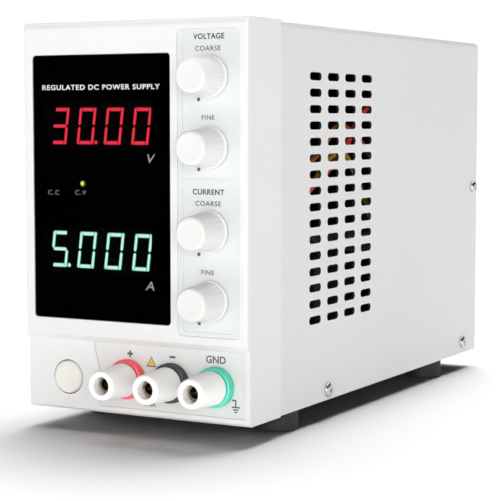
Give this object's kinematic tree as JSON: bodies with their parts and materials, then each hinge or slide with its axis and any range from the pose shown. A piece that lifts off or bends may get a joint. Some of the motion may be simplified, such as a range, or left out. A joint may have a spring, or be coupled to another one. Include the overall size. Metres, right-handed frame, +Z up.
{
  "type": "bench power supply",
  "caption": "Upright bench power supply: dark window with red and green digit rows, turning knobs, screw-cap terminals, vented sheet cover, rubber feet.",
  "frame": {"origin": "centre of the bounding box at the height of the table, under the middle of the case", "axes": "+X to the right seen from the front, +Y from the front panel to the rear, +Z up"},
  "size_m": [0.1002, 0.2492, 0.156],
  "materials": {
    "bezel_white": "fine texture",
    "window_black": "polished",
    "overlay_grey": "printed film",
    "cover_grey": "powder coat",
    "tray_zinc": "zinc plated",
    "rear_grey": "powder coat",
    "foot_rubber": "matte",
    "screw_steel": "plated",
    "knob_white": "satin",
    "shaft_steel": "turned",
    "pot_metal": "stamped",
    "post_red": "satin",
    "post_black": "satin",
    "post_mint": "satin",
    "cap_white": "satin",
    "post_brass": "turned",
    "washer_nickel": "nickel plated",
    "button_cream": "satin",
    "switch_black": "moulded",
    "board_green": "solder mask",
    "module_dark": "moulded",
    "lamp_green": "clear lens",
    "lamp_red": "clear lens",
    "ferrite_dark": "matte",
    "heatsink_alu": "extruded",
    "cap_blue": "shrink sleeve",
    "fan_black": "moulded",
    "inlet_black": "moulded",
    "wire_red": "insulation",
    "wire_orange": "insulation",
    "wire_yellow": "insulation"
  },
  "bodies": {
    "case": {"front_bezel": "bezel_white", "display_window": "window_black", "control_panel": "overlay_grey", "terminal_panel": "overlay_grey", "top_cover": "cover_grey", "base_tray": "tray_zinc", "rear_panel": "rear_grey", "foot_front_left": "foot_rubber", "foot_front_right": "foot_rubber", "foot_rear_left": "foot_rubber", "foot_rear_right": "foot_rubber", "screw_lower_front_right": "screw_steel", "screw_lower_front_left": "screw_steel", "screw_lower_rear_right": "screw_steel", "screw_lower_rear_left": "screw_steel", "screw_upper_rear_right": "screw_steel", "screw_upper_rear_left": "screw_steel", "voltage_coarse_pot": "pot_metal", "voltage_fine_pot": "pot_metal", "current_coarse_pot": "pot_metal", "current_fine_pot": "pot_metal", "positive_post_base": "post_red", "positive_post_stem": "post_brass", "negative_post_base": "post_black", "negative_post_stem": "post_brass", "ground_post_base": "post_mint", "ground_post_stem": "post_brass", "power_switch": "switch_black", "display_board": "board_green", "voltage_display": "module_dark", "current_display": "module_dark", "constant_current_lamp": "lamp_red", "constant_voltage_lamp": "lamp_green", "main_board": "board_green", "transformer": "ferrite_dark", "heatsink": "heatsink_alu", "filter_capacitor": "cap_blue", "fan_frame": "fan_black", "mains_inlet": "inlet_black", "red_wire": "wire_red", "orange_wire": "wire_orange", "yellow_wire": "wire_yellow"},
    "voltage_coarse_control": {"voltage_coarse_knob": "knob_white", "voltage_coarse_shaft": "shaft_steel"},
    "voltage_fine_control": {"voltage_fine_knob": "knob_white", "voltage_fine_shaft": "shaft_steel"},
    "current_coarse_control": {"current_coarse_knob": "knob_white", "current_coarse_shaft": "shaft_steel"},
    "current_fine_control": {"current_fine_knob": "knob_white", "current_fine_shaft": "shaft_steel"},
    "positive_clamp": {"positive_clamp_washer": "washer_nickel"},
    "positive_cap": {"positive_post_cap": "cap_white"},
    "negative_clamp": {"negative_clamp_washer": "washer_nickel"},
    "negative_cap": {"negative_post_cap": "cap_white"},
    "ground_clamp": {"ground_clamp_washer": "washer_nickel"},
    "ground_cap": {"ground_post_cap": "cap_white"},
    "power_button": {"power_button": "button_cream"},
    "fan_rotor": {"fan_rotor": "fan_black"},
    "fuse_drawer": {"fuse_drawer": "inlet_black"}
  },
  "joints": [
    {"name": "voltage_coarse_turn", "type": "hinge", "parent": "case", "child": "voltage_coarse_control", "pos_m": [0.0332, -0.1133, 0.1348], "axis": [0, 1, 0], "range_deg": [-300, 0]},
    {"name": "voltage_fine_turn", "type": "hinge", "parent": "case", "child": "voltage_fine_control", "pos_m": [0.0332, -0.1133, 0.1093], "axis": [0, 1, 0], "range_deg": [-150, 150]},
    {"name": "current_coarse_turn", "type": "hinge", "parent": "case", "child": "current_coarse_control", "pos_m": [0.0332, -0.1133, 0.0789], "axis": [0, 1, 0], "range_deg": [-300, 0]},
    {"name": "current_fine_turn", "type": "hinge", "parent": "case", "child": "current_fine_control", "pos_m": [0.0332, -0.1133, 0.0534], "axis": [0, 1, 0], "range_deg": [-150, 150]},
    {"name": "positive_clamp_travel", "type": "slide", "parent": "case", "child": "positive_clamp", "axis": [0, -1, 0], "range_m": [0, 0.0048]},
    {"name": "positive_cap_turn", "type": "hinge", "parent": "positive_clamp", "child": "positive_cap", "pos_m": [-0.00305, -0.1163, 0.022], "axis": [0, -1, 0], "range_deg": [0, 2162]},
    {"name": "negative_clamp_travel", "type": "slide", "parent": "case", "child": "negative_clamp", "axis": [0, -1, 0], "range_m": [0, 0.0048]},
    {"name": "negative_cap_turn", "type": "hinge", "parent": "negative_clamp", "child": "negative_cap", "pos_m": [0.016, -0.1163, 0.022], "axis": [0, -1, 0], "range_deg": [0, 2162]},
    {"name": "ground_clamp_travel", "type": "slide", "parent": "case", "child": "ground_clamp", "axis": [0, -1, 0], "range_m": [0, 0.0048]},
    {"name": "ground_cap_turn", "type": "hinge", "parent": "ground_clamp", "child": "ground_cap", "pos_m": [0.03505, -0.1163, 0.022], "axis": [0, -1, 0], "range_deg": [0, 2162]},
    {"name": "power_button_press", "type": "slide", "parent": "case", "child": "power_button", "axis": [0, 1, 0], "range_m": [-0.0035, 0.0008]},
    {"name": "fan_spin", "type": "hinge", "parent": "case", "child": "fan_rotor", "pos_m": [0, 0.1074, 0.106], "axis": [0, 1, 0], "continuous": true},
    {"name": "fuse_drawer_slide", "type": "slide", "parent": "case", "child": "fuse_drawer", "axis": [0, 1, 0], "range_m": [0, 0.0145]}
  ],
  "couplings": [
    {"joint": "positive_cap_turn", "follows": "positive_clamp_travel", "rad_per_m": 7854},
    {"joint": "negative_cap_turn", "follows": "negative_clamp_travel", "rad_per_m": 7854},
    {"joint": "ground_cap_turn", "follows": "ground_clamp_travel", "rad_per_m": 7854}
  ]
}
